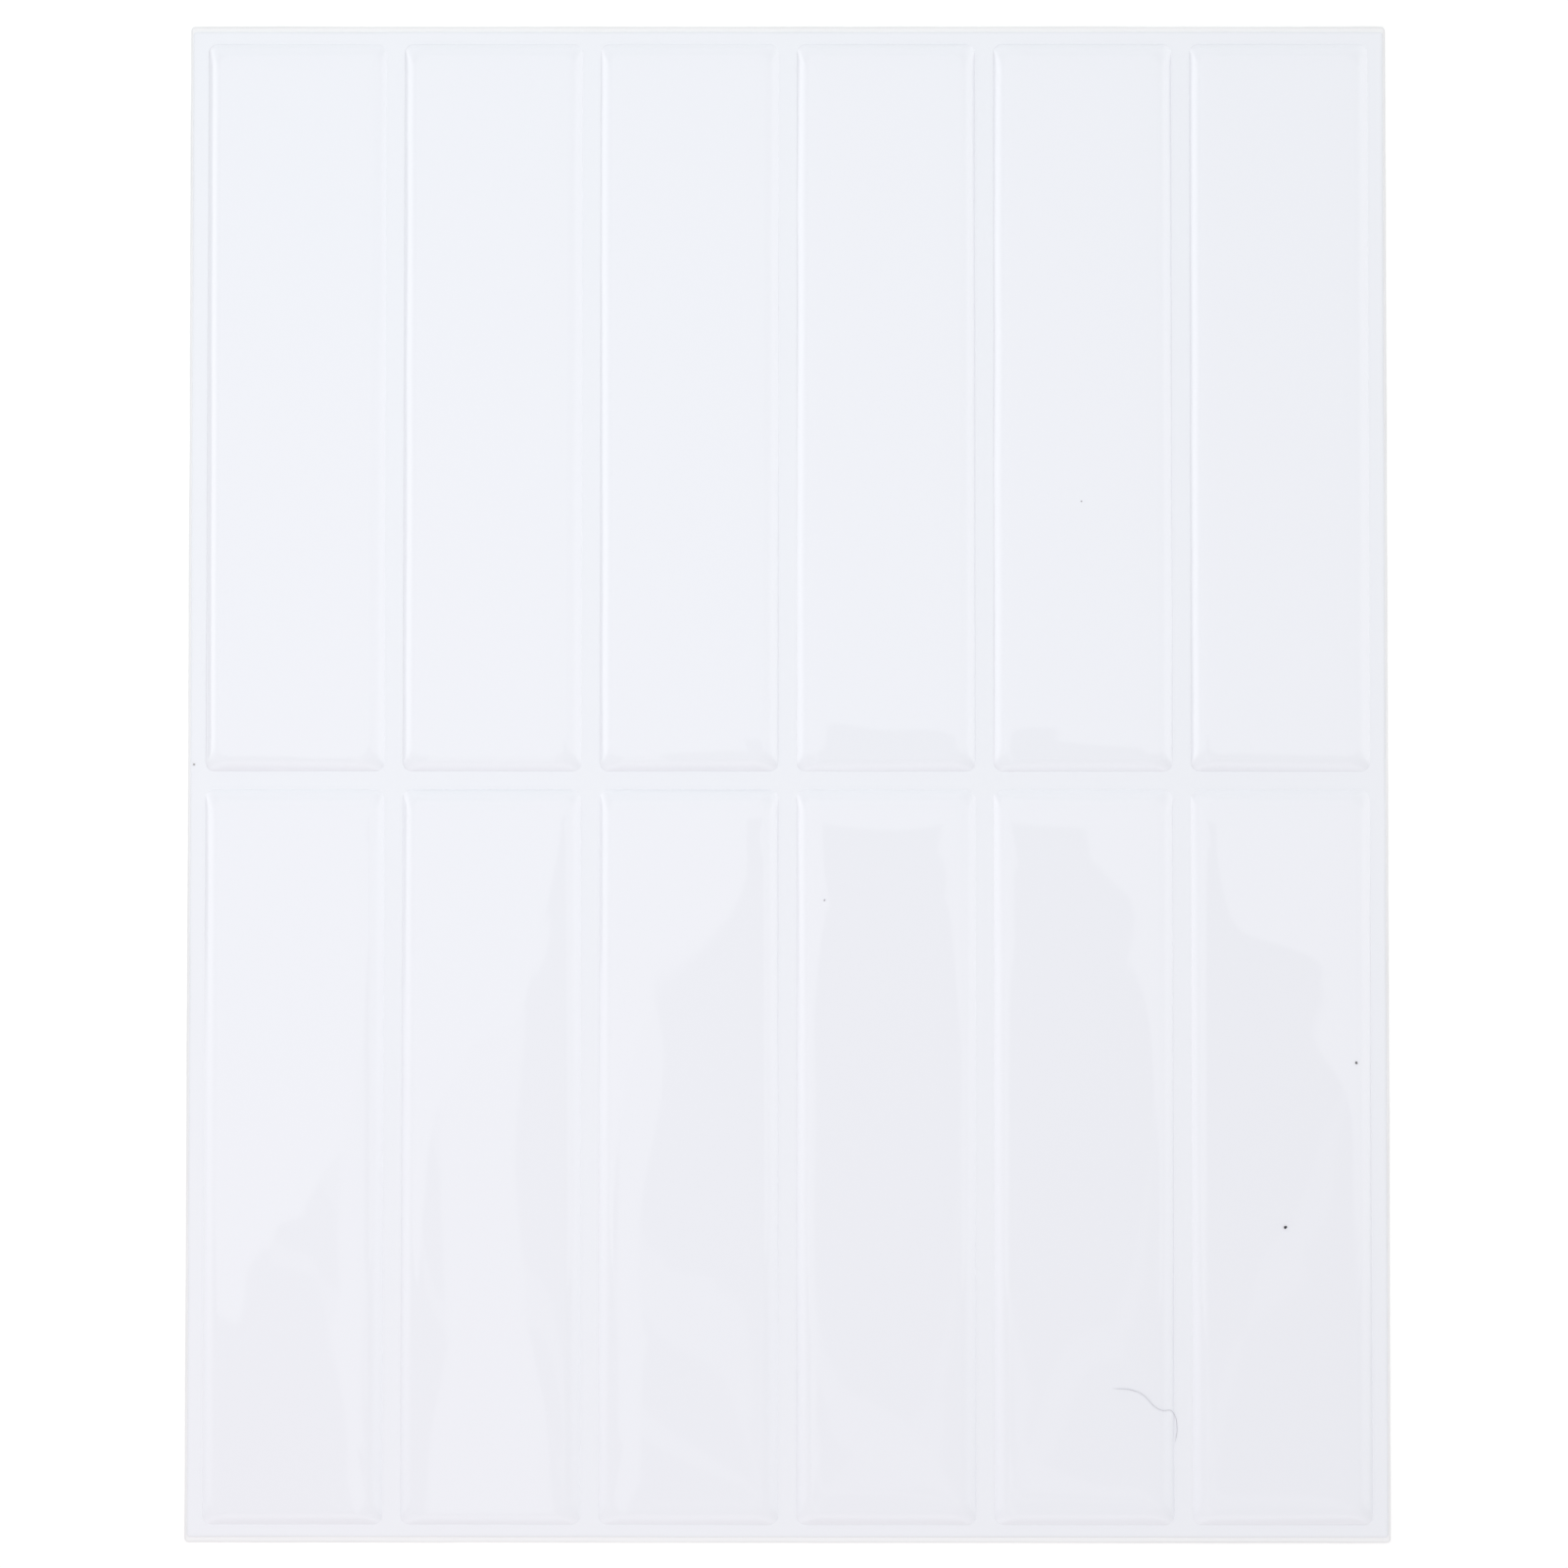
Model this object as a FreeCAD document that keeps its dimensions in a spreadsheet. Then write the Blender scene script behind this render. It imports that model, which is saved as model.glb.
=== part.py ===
import FreeCAD, Part
import math
import os

import Sketcher

# Self-adhesive wall tile sheet. Twelve clear-cast resin tiles stand in two rows of six on a white
# film, and the film's sticky back is covered by a paper release liner.
# The sheet lies flat: X runs across it, Y along it and Z up out of the tile faces. The origin is
# the middle of the liner's underside. Every size is in millimetres.

PARTS_FOLDER = "parts"
COLUMNS = 6
ROWS = ("lower", "upper")

DRIVING_SIZES = {
    "tile_width": 36.0,
    "tile_length": 147.0,
    "tile_corner": 1.8,
    "grout_gap": 3.6,
    "side_margin": 3.1,
    "end_margin": 2.5,
    "liner_thickness": 0.12,
    "liner_side_overhang": 0.5,
    "liner_end_overhang": 1.1,
    "liner_corner": 0.8,
    "film_thickness": 0.28,
    "film_corner": 0.6,
    "resin_height": 1.4,
    "shoulder_width": 3.0,
    "crown_corner": 3.0,
    "dome_power": 2.0,
}

# The dome is lofted through this many level outlines above the foot. They crowd towards the foot,
# where the dome is steepest: outline n lies at the share (n / DOME_STEPS) ^ DOME_CROWDING.
DOME_STEPS = 5
DOME_CROWDING = 2


def run_of_tiles(count, tile_size, margin):
    """The film's size along a run of tiles: the tiles, the gaps between them and two margins."""
    return f"({count} * sizes.{tile_size} + {count - 1} * sizes.grout_gap + 2 * sizes.{margin})"


FILM_WIDTH = run_of_tiles(COLUMNS, "tile_width", "side_margin")
FILM_LENGTH = run_of_tiles(len(ROWS), "tile_length", "end_margin")


def make_size_sheet(doc):
    """Every driving dimension sits in one named cell."""
    sheet = doc.addObject("Spreadsheet::Sheet", "sizes")
    for row, (name, value) in enumerate(DRIVING_SIZES.items(), start=1):
        sheet.set(f"A{row}", name)
        sheet.set(f"B{row}", str(value))
        sheet.setAlias(f"B{row}", name)
    doc.recompute()
    return sheet


def origin_plane(body, role):
    """One of the body's own base planes, found by its role."""
    return next(feature for feature in body.Origin.OriginFeatures if feature.Role == role)


def rounded_rectangle(body, name, width, length, corner, height="0"):
    """A level sketch of a rectangle with four equal round corners, centred on the body's Z axis.

    width, length, corner and height are expressions that read the size sheet.
    """
    sketch = body.newObject("Sketcher::SketchObject", name)
    sketch.AttachmentSupport = (origin_plane(body, "XY_Plane"), [""])
    sketch.MapMode = "FlatFace"
    sketch.setExpression("AttachmentOffset.Base.z", height)

    # A first guess of the outline. The constraints below give it its real size.
    half_width, half_length, radius = 10.0, 20.0, 2.0
    inner_x, inner_y = half_width - radius, half_length - radius
    up = FreeCAD.Vector(0, 0, 1)

    def line(x_from, y_from, x_to, y_to):
        start, end = FreeCAD.Vector(x_from, y_from, 0), FreeCAD.Vector(x_to, y_to, 0)
        return sketch.addGeometry(Part.LineSegment(start, end), False)

    def corner_arc(x_centre, y_centre, quarter):
        circle = Part.Circle(FreeCAD.Vector(x_centre, y_centre, 0), up, radius)
        start, end = quarter * math.pi / 2, (quarter + 1) * math.pi / 2
        return sketch.addGeometry(Part.ArcOfCircle(circle, start, end), False)

    bottom = line(-inner_x, -half_length, inner_x, -half_length)
    bottom_right = corner_arc(inner_x, -inner_y, 3)
    right = line(half_width, -inner_y, half_width, inner_y)
    top_right = corner_arc(inner_x, inner_y, 0)
    top = line(inner_x, half_length, -inner_x, half_length)
    top_left = corner_arc(-inner_x, inner_y, 1)
    left = line(-half_width, inner_y, -half_width, -inner_y)
    bottom_left = corner_arc(-inner_x, -inner_y, 2)

    # The sketcher's own numbers for a geometry's points and for the sketch's origin.
    start_point, end_point, centre_point = 1, 2, 3
    origin = (-1, 1)
    outline = (bottom, bottom_right, right, top_right, top, top_left, left, bottom_left)
    for this, following in zip(outline, outline[1:] + outline[:1]):
        sketch.addConstraint(Sketcher.Constraint("Tangent", this, end_point, following, start_point))
    for level_line in (bottom, top):
        sketch.addConstraint(Sketcher.Constraint("Horizontal", level_line))
    for upright_line in (right, left):
        sketch.addConstraint(Sketcher.Constraint("Vertical", upright_line))
    for other_arc in (top_right, top_left, bottom_left):
        sketch.addConstraint(Sketcher.Constraint("Equal", bottom_right, other_arc))
    opposite_centres = (bottom_left, centre_point, top_right, centre_point)
    sketch.addConstraint(Sketcher.Constraint("Symmetric", *opposite_centres, *origin))

    named = {
        "width": Sketcher.Constraint("DistanceX", left, start_point, right, start_point, 2 * half_width),
        "length": Sketcher.Constraint("DistanceY", bottom, start_point, top, start_point, 2 * half_length),
        "corner": Sketcher.Constraint("Radius", bottom_right, radius),
    }
    for (constraint_name, constraint), expression in zip(named.items(), (width, length, corner)):
        index = sketch.addConstraint(constraint)
        sketch.renameConstraint(index, constraint_name)
        sketch.setExpression(f"Constraints.{constraint_name}", expression)
    return sketch


def place(body, x="0", y="0", z="0"):
    """The body's place in the sheet's frame, as expressions."""
    for axis, expression in (("x", x), ("y", y), ("z", z)):
        body.setExpression(f"Placement.Base.{axis}", expression)


def make_flat_layer(doc, name, width, length, corner, thickness, height):
    """A sheet layer: a rounded rectangle padded to its thickness."""
    body = doc.addObject("PartDesign::Body", name)
    body.Label = name
    outline = rounded_rectangle(body, f"{name}_outline", width, length, corner)
    pad = body.newObject("PartDesign::Pad", f"{name}_pad")
    pad.Profile = (outline, [""])
    pad.setExpression("Length", thickness)
    place(body, z=height)
    return body


def make_release_liner(doc):
    """The silicone paper that is peeled off before the sheet is stuck down. It sticks out further at
    the ends than at the sides."""
    return make_flat_layer(
        doc,
        "release_liner",
        width=f"{FILM_WIDTH} + 2 * sizes.liner_side_overhang",
        length=f"{FILM_LENGTH} + 2 * sizes.liner_end_overhang",
        corner="sizes.liner_corner",
        thickness="sizes.liner_thickness",
        height="0",
    )


def make_backing_film(doc):
    """The white film that carries the tiles and shows between them as grout lines."""
    return make_flat_layer(
        doc,
        "backing_film",
        width=FILM_WIDTH,
        length=FILM_LENGTH,
        corner="sizes.film_corner",
        thickness="sizes.film_thickness",
        height="sizes.liner_thickness",
    )


def make_resin_tile(doc, name, column, row):
    """One domed resin tile, lofted through level outlines from its foot to its flat crown.

    With u the share of the shoulder passed on the way in, from 0 at the foot to 1 at the crown,
    the outline is u * shoulder_width inside the foot and stands at
    resin_height * (1 - (1 - u) ^ dome_power). Its corners grow from tile_corner to crown_corner.
    """
    body = doc.addObject("PartDesign::Body", name)
    body.Label = name
    outlines = []
    for step in range(DOME_STEPS + 1):
        share = f"({step} / {DOME_STEPS})^{DOME_CROWDING}"
        inset = f"2 * sizes.shoulder_width * {share}"
        outline = rounded_rectangle(
            body,
            f"{name}_level_{step}",
            width=f"sizes.tile_width - {inset}",
            length=f"sizes.tile_length - {inset}",
            corner=f"sizes.tile_corner + (sizes.crown_corner - sizes.tile_corner) * {share}",
            height=f"sizes.resin_height * (1 - (1 - {share})^sizes.dome_power)",
        )
        outlines.append(outline)
    doc.recompute()
    dome = body.newObject("PartDesign::AdditiveLoft", f"{name}_dome")
    dome.Profile = (outlines[0], [""])
    dome.Sections = [(outline, [""]) for outline in outlines[1:]]
    dome.Ruled = False
    dome.Closed = False
    place(
        body,
        x=f"{column - (COLUMNS - 1) / 2} * (sizes.tile_width + sizes.grout_gap)",
        y=f"{row - (len(ROWS) - 1) / 2} * (sizes.tile_length + sizes.grout_gap)",
        z="sizes.liner_thickness + sizes.film_thickness",
    )
    return body


def check(doc, bodies):
    """Stops before anything is written if an object failed or a piece is no valid solid."""
    for item in doc.Objects:
        if {"Invalid", "Error"} & set(item.State):
            raise RuntimeError(f"{item.Name} did not build: {item.State}")
    for body in bodies:
        shape = body.Shape
        if shape.isNull() or not shape.isValid() or len(shape.Solids) != 1:
            raise RuntimeError(f"{body.Label} is not one valid solid")


def export(bodies):
    """Writes one file for each piece, named after its label."""
    os.makedirs(PARTS_FOLDER, exist_ok=True)
    for body in bodies:
        body.Shape.exportStep(os.path.join(PARTS_FOLDER, f"{body.Label}.step"))
        bounds = body.Shape.BoundBox
        spans = " x ".join(f"{span:.2f}" for span in (bounds.XLength, bounds.YLength, bounds.ZLength))
        print(f"{body.Label}: {spans} mm, {body.Shape.Volume / 1000:.3f} cm3, from z {bounds.ZMin:.2f}")


def main():
    doc = FreeCAD.newDocument("tile_sheet")
    make_size_sheet(doc)
    bodies = [make_release_liner(doc), make_backing_film(doc)]
    for row, row_name in enumerate(ROWS):
        for column in range(COLUMNS):
            bodies.append(make_resin_tile(doc, f"tile_{row_name}_{column + 1}", column, row))
    doc.recompute()
    check(doc, bodies)
    export(bodies)


main()
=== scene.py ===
# %% [markdown]
# # A peel-and-stick wall tile sheet
#
# Twelve upright tiles of cast resin stand on a thin white film in two rows of six. The film's back
# is sticky, and a release liner of white paper covers it until the sheet goes on a wall. Everything
# is white or nearly white, so the whole look is in small things: how the resin swells up from its
# foot, how its crown mirrors the studio, and how the cut edges catch the light.
#
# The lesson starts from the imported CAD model, which is a fixed frame. Nothing here moves or resizes
# it. New pieces are surfaces worked out with numpy in the same place and at the same size.

# %% Load the frame
import math

import bpy
import numpy as np
from mathutils import Euler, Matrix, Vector


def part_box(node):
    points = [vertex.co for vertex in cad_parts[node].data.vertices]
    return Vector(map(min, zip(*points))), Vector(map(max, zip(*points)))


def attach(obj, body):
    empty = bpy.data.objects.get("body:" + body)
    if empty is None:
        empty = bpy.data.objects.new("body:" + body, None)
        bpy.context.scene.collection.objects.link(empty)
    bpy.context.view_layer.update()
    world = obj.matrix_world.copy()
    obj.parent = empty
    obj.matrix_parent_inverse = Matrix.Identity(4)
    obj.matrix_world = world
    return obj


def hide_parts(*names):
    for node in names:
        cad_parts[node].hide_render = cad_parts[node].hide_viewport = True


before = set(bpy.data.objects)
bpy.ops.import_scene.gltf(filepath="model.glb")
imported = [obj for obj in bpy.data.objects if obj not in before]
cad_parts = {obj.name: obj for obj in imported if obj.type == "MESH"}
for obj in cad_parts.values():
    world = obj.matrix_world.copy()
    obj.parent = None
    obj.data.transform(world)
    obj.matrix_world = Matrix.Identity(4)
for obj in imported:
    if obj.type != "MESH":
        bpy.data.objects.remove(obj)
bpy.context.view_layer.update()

MM = 0.001

# %% [markdown]
# ## Sizes come from the frame
#
# A node's box says where the real piece lies, so the tiles, the film and the liner take their place
# and height from there. Only what a box can't say is written down here: how the resin's shoulder
# rises and how its corners are rounded. These are the values of the real cast tile.

# %% Read the places of the film, the liner and the tiles
FILM_LOW, FILM_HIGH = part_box("backing_film")
LINER_LOW, LINER_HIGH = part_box("release_liner")
TILE_NODES = sorted(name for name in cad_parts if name.startswith("tile_"))

SHOULDER = 3.0 * MM
TILE_CORNER = 1.8 * MM
CROWN_CORNER = 3.0 * MM
DOME_POWER = 2.0
LINER_CORNER = 0.8 * MM
FILM_CORNER = 0.6 * MM
print(len(TILE_NODES), "tiles on a film whose top is at", round(FILM_HIGH.z / MM, 2), "mm")

# %% [markdown]
# ## Walking round a rounded rectangle
#
# Every piece of this sheet is a stack of rounded rectangles: the foot of a tile, its shoulder, its
# crown, the film and the liner. One helper walks round such an outline once and remembers, for each
# step, which corner-arc centre the step hangs from and in which direction it looks. Any size and
# any corner radius then follow from the same walk by plain arithmetic, and two outlines made from
# one walk always match point for point, which is what a grid needs.

# %% The walk
def walk_round(long_steps, short_steps, corner_steps):
    """The steps of a walk round a rounded rectangle, anticlockwise from the right side's foot.

    Returns the arc centres, as shares of the inner rectangle from -1 to 1, and the unit directions.
    A straight side keeps one direction while its centre slides along. A corner keeps its centre
    while the direction turns by a quarter.
    """
    centres, angles = [], []
    for quarter in range(4):
        straight = short_steps if quarter % 2 else long_steps
        slide = np.linspace(-1, 1, straight, endpoint=False)
        turn = np.linspace(0, math.pi / 2, corner_steps, endpoint=False)
        side = np.stack([np.ones(straight), slide], axis=1)
        corner = np.ones((corner_steps, 2))
        start = quarter * math.pi / 2
        rotate = np.array([[math.cos(start), math.sin(start)], [-math.sin(start), math.cos(start)]])
        centres.append(np.concatenate([side, corner]) @ rotate)
        angles.append(np.concatenate([np.zeros(straight), turn]) + start)
    angle = np.concatenate(angles)
    return np.concatenate(centres), np.stack([np.cos(angle), np.sin(angle)], axis=1)


def outline(walk, half_size, corner):
    """Points of the outline: the arc centre, out at the inner rectangle, plus the corner radius along
    the direction. Lists of sizes and corners give a stack of outlines."""
    centres, directions = walk
    half_size = np.asarray(half_size)[..., None, :]
    corner = np.asarray(corner)[..., None, None]
    return centres * (half_size - corner) + directions * corner


def share_round(points):
    """Each point's share of the way round its outline, from 0 to 1, by the lengths of the steps."""
    lengths = np.linalg.norm(np.roll(points, -1, axis=0) - points, axis=1)
    return np.concatenate([[0.0], np.cumsum(lengths)[:-1]]) / lengths.sum()


# %% [markdown]
# ## From rings to a closed mesh
#
# A stack of rings is a surface of two parameters: how far round, and how far up. Neighbouring rings
# are joined by four-sided faces, and one point at each end closes the stack with a fan. Seen from
# above each ring runs anticlockwise, so all faces point outwards without any repair.

# %% Mesh helper
def closed_shell(name, rings, first_pole, last_pole, sharp_degrees=35, masks=None):
    """A closed mesh from rings of points, listed from the first pole's end to the last pole's. A mask
    is a named value for each point of the rings, which materials can read as an attribute. It is 0 at
    the poles."""
    count, around = rings.shape[:2]
    points = np.concatenate([rings.reshape(-1, 3), [first_pole, last_pole]])
    here = np.arange(count * around).reshape(count, around)
    after = np.roll(here, -1, axis=1)
    quads = np.stack([here[:-1], after[:-1], after[1:], here[1:]], axis=-1).reshape(-1, 4)
    first_fan = np.stack([after[0], here[0], np.full(around, count * around)], axis=-1)
    last_fan = np.stack([here[-1], after[-1], np.full(around, count * around + 1)], axis=-1)
    mesh = bpy.data.meshes.new(name)
    mesh.from_pydata(points.tolist(), [], quads.tolist() + first_fan.tolist() + last_fan.tolist())
    for label, values in (masks or {}).items():
        attribute = mesh.attributes.new(label, "FLOAT", "POINT")
        attribute.data.foreach_set("value", np.append(values, (0, 0)).astype(np.float32))
    mesh.shade_smooth()
    mesh.set_sharp_from_angle(angle=math.radians(sharp_degrees))
    piece = bpy.data.objects.new(name, mesh)
    bpy.context.scene.collection.objects.link(piece)
    return piece


def put_in_place(piece, material, stands_for=()):
    """Gives a finished piece its material and the body it rides on, hides the CAD nodes it stands for,
    and returns its number of triangles."""
    piece.data.materials.append(material)
    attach(piece, "root")
    if stands_for:
        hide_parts(*stands_for)
    count = sum(len(face.vertices) - 2 for face in piece.data.polygons)
    print(piece.name, count, "triangles")
    return count


# %% [markdown]
# ## Small irregularities
#
# A knife doesn't cut a perfect line, and resin doesn't stop at one. Both wander by about a tenth of
# a millimetre. The wandering is a sum of a few sine waves with random phases, which is smooth,
# closes on itself all the way round, and comes out the same on every run because its seed is fixed.
# A crown's surface is uneven in the same way, with waves that cross it in every direction.

# %% Wandering lines and uneven crowns
UNEVEN_WAVES = 7
UNEVEN_LENGTHS = (20, 70)        # in millimetres


def wander(share, seed, waves, size):
    """A closed wandering line: sines with the given numbers of waves round the outline, each with a
    random phase and strength, weaker as they get shorter, scaled so that it never swings past size."""
    random = np.random.default_rng(seed)
    waves = np.asarray(waves, float)
    phases = random.uniform(0, 2 * math.pi, len(waves))
    strengths = random.uniform(0.5, 1.0, len(waves)) / np.sqrt(waves / waves.min())
    swing = np.sin(2 * math.pi * share[:, None] * waves + phases) @ strengths
    return swing * size / strengths.sum()


def unevenness(x, y, seed, slope):
    """The height of a gently uneven crown: plane waves of random lengths and directions. Each wave's
    height is its slope times its length over a full turn, so slope is the tilt it gives. The sum is
    divided by the square root of the number of waves, so that they tilt it no more than one would."""
    random = np.random.default_rng(seed)
    lengths = random.uniform(*UNEVEN_LENGTHS, UNEVEN_WAVES) * MM
    headings = random.uniform(0, math.pi, UNEVEN_WAVES)
    phases = random.uniform(0, 2 * math.pi, UNEVEN_WAVES)
    turns = 2 * math.pi / lengths
    along = x[..., None] * np.cos(headings) + y[..., None] * np.sin(headings)
    return (np.sin(along * turns + phases) * slope / turns).sum(axis=-1) / math.sqrt(UNEVEN_WAVES)


# %% [markdown]
# ## Shared effects for the materials
#
# Three effects turn up in more than one finish, so each is a node group that is built once:
# a slow drift between two tints, a fine unevenness of the surface, and a haze that makes the gloss
# a little duller here and there. A group only puts out colours and values. The shader itself stays
# in each material, with its constant numbers on its own sockets.

# %% Node helpers
def group_with(name, inputs, outputs):
    """An empty shader node group with named sockets, and its input and output nodes."""
    tree = bpy.data.node_groups.new(name, "ShaderNodeTree")
    for label, kind, value in inputs:
        socket = tree.interface.new_socket(label, in_out="INPUT", socket_type=kind)
        socket.default_value = value
    for label, kind in outputs:
        tree.interface.new_socket(label, in_out="OUTPUT", socket_type=kind)
    return tree, tree.nodes.new("NodeGroupInput"), tree.nodes.new("NodeGroupOutput")


def join(tree, value, socket):
    """Links a socket to another, or writes a plain number or colour on it."""
    if isinstance(value, bpy.types.NodeSocket):
        tree.links.new(value, socket)
    else:
        socket.default_value = value


def calculate(tree, operation, *values):
    """One Math node, fed with sockets or numbers."""
    node = tree.nodes.new("ShaderNodeMath")
    node.operation = operation
    for value, socket in zip(values, node.inputs):
        join(tree, value, socket)
    return node.outputs[0]


def noise(tree, scale, detail):
    """A noise texture on the piece's own object coordinates, which are metres here."""
    place = tree.nodes.new("ShaderNodeTexCoord")
    node = tree.nodes.new("ShaderNodeTexNoise")
    tree.links.new(place.outputs["Object"], node.inputs["Vector"])
    join(tree, scale, node.inputs["Scale"])
    node.inputs["Detail"].default_value = detail
    return node.outputs["Fac"]


# %% A drifting tint
def make_tint_drift():
    """Colour that drifts from Tint to Other Tint over noise of the given Scale."""
    tree, given, result = group_with(
        "tint_drift",
        [
            ("Tint", "NodeSocketColor", (0.8, 0.8, 0.8, 1)),
            ("Other Tint", "NodeSocketColor", (0.8, 0.8, 0.8, 1)),
            ("Scale", "NodeSocketFloat", 20.0),
        ],
        [("Color", "NodeSocketColor")],
    )
    mix = tree.nodes.new("ShaderNodeMix")
    mix.data_type = "RGBA"
    tree.links.new(noise(tree, given.outputs["Scale"], 2.0), mix.inputs["Factor"])
    tree.links.new(given.outputs["Tint"], mix.inputs["A"])
    tree.links.new(given.outputs["Other Tint"], mix.inputs["B"])
    tree.links.new(mix.outputs["Result"], result.inputs["Color"])
    return tree


# %% A fine relief
def make_fine_relief():
    """A height in metres for a Bump node: coarse waves plus a finer grain on top of them."""
    tree, given, result = group_with(
        "fine_relief",
        [
            ("Wave Scale", "NodeSocketFloat", 200.0),
            ("Wave Height", "NodeSocketFloat", 0.000001),
            ("Grain Scale", "NodeSocketFloat", 3000.0),
            ("Grain Height", "NodeSocketFloat", 0.000001),
        ],
        [("Height", "NodeSocketFloat")],
    )
    wave = noise(tree, given.outputs["Wave Scale"], 1.0)
    wave = calculate(tree, "MULTIPLY", wave, given.outputs["Wave Height"])
    grain = noise(tree, given.outputs["Grain Scale"], 3.0)
    grain = calculate(tree, "MULTIPLY", grain, given.outputs["Grain Height"])
    tree.links.new(calculate(tree, "ADD", wave, grain), result.inputs["Height"])
    return tree


# %% A haze on the gloss
NOISE_LOW, NOISE_HIGH = 0.35, 0.65        # most of a noise texture's values lie between these


def make_haze():
    """Roughness that wanders between Clear and Dull, as handling and fine dust leave it."""
    tree, given, result = group_with(
        "haze",
        [
            ("Clear", "NodeSocketFloat", 0.05),
            ("Dull", "NodeSocketFloat", 0.1),
            ("Scale", "NodeSocketFloat", 30.0),
        ],
        [("Roughness", "NodeSocketFloat")],
    )
    range_node = tree.nodes.new("ShaderNodeMapRange")
    range_node.inputs["From Min"].default_value = NOISE_LOW
    range_node.inputs["From Max"].default_value = NOISE_HIGH
    tree.links.new(noise(tree, given.outputs["Scale"], 4.0), range_node.inputs["Value"])
    tree.links.new(given.outputs["Clear"], range_node.inputs["To Min"])
    tree.links.new(given.outputs["Dull"], range_node.inputs["To Max"])
    tree.links.new(range_node.outputs["Result"], result.inputs["Roughness"])
    return tree


# %% Build the three effects
TINT_DRIFT, FINE_RELIEF, HAZE = make_tint_drift(), make_fine_relief(), make_haze()
print("shared effects:", TINT_DRIFT.name, FINE_RELIEF.name, HAZE.name)

# %% [markdown]
# ## Three finishes
#
# The resin reads as a glossy bluish white that nothing shines through. The bare film between the
# tiles is nearly the same white with a satin finish. The liner is matt white paper, seen only as a
# hairline round the edge and from below. All three are the same shader with the same three effects,
# so one function makes them from their own values. A cut edge and the line where the resin stops
# get painted shade: their colour is made a little darker than the faces for the contact shadow
# there, and each mesh says where, in its painted_edge_shade attribute.

# %% One finish
def finish(name, tint, other_tint, drift, clear, dull, haze_scale, relief, ior):
    """A dielectric finish: two tints that drift over noise of the scale drift, roughness between clear
    and dull over noise of haze_scale, and a relief given as (wave scale, wave height, grain scale,
    grain height), with its heights in metres."""
    material = bpy.data.materials.new(name)
    material.use_nodes = True
    tree = material.node_tree
    shader = next(node for node in tree.nodes if node.type == "BSDF_PRINCIPLED")
    shader.inputs["IOR"].default_value = ior

    def effect(group, **values):
        node = tree.nodes.new("ShaderNodeGroup")
        node.node_tree = group
        for label, value in values.items():
            node.inputs[label.replace("_", " ")].default_value = value
        return node.outputs[0]

    colour = effect(TINT_DRIFT, Tint=(*tint, 1), Other_Tint=(*other_tint, 1), Scale=drift)
    roughness = effect(HAZE, Clear=clear, Dull=dull, Scale=haze_scale)
    wave_scale, wave_height, grain_scale, grain_height = relief
    height = effect(
        FINE_RELIEF,
        Wave_Scale=wave_scale,
        Wave_Height=wave_height,
        Grain_Scale=grain_scale,
        Grain_Height=grain_height,
    )
    bump = tree.nodes.new("ShaderNodeBump")
    bump.inputs["Distance"].default_value = 1.0
    tree.links.new(height, bump.inputs["Height"])
    tree.links.new(colour, shader.inputs["Base Color"])
    tree.links.new(roughness, shader.inputs["Roughness"])
    tree.links.new(bump.outputs["Normal"], shader.inputs["Normal"])
    return material


# %% Painted edge shade
def paint_edge_shade(material, shade):
    """Paints shade: multiplies the colour by the shade, as far as the mesh's painted_edge_shade
    attribute says: not at all at 0, fully at 1."""
    tree = material.node_tree
    shader = next(node for node in tree.nodes if node.type == "BSDF_PRINCIPLED")
    colour = shader.inputs["Base Color"].links[0].from_socket
    line = tree.nodes.new("ShaderNodeAttribute")
    line.attribute_name = "painted_edge_shade"
    mix = tree.nodes.new("ShaderNodeMix")
    mix.data_type = "RGBA"
    mix.blend_type = "MULTIPLY"
    tree.links.new(line.outputs["Fac"], mix.inputs["Factor"])
    tree.links.new(colour, mix.inputs["A"])
    mix.inputs["B"].default_value = (*shade, 1)
    tree.links.new(mix.outputs["Result"], shader.inputs["Base Color"])


# %% Resin, film and liner
RESIN = finish(
    "glossy_resin",
    tint=(0.886, 0.902, 0.953),
    other_tint=(0.893, 0.898, 0.947),
    drift=12.0,
    clear=0.008,
    dull=0.018,
    haze_scale=25.0,
    relief=(90.0, 1.2e-6, 1500.0, 1.0e-8),
    ior=1.5,
)
FILM = finish(
    "satin_film",
    tint=(0.891, 0.907, 0.953),
    other_tint=(0.896, 0.907, 0.952),
    drift=15.0,
    clear=0.3,
    dull=0.36,
    haze_scale=60.0,
    relief=(400.0, 1.0e-6, 5000.0, 6.0e-7),
    ior=1.48,
)
LINER = finish(
    "liner_paper",
    tint=(0.95, 0.95, 0.96),
    other_tint=(0.94, 0.94, 0.95),
    drift=40.0,
    clear=0.6,
    dull=0.8,
    haze_scale=200.0,
    relief=(900.0, 4.0e-6, 9000.0, 3.0e-6),
    ior=1.45,
)
# Painted shade along the resin's feet and the film's and liner's cuts, for the contact shadow there.
paint_edge_shade(RESIN, (0.9, 0.9, 0.9))
paint_edge_shade(FILM, (0.88, 0.88, 0.88))
paint_edge_shade(LINER, (0.78, 0.78, 0.78))
print("finishes:", RESIN.name, FILM.name, LINER.name)
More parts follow.
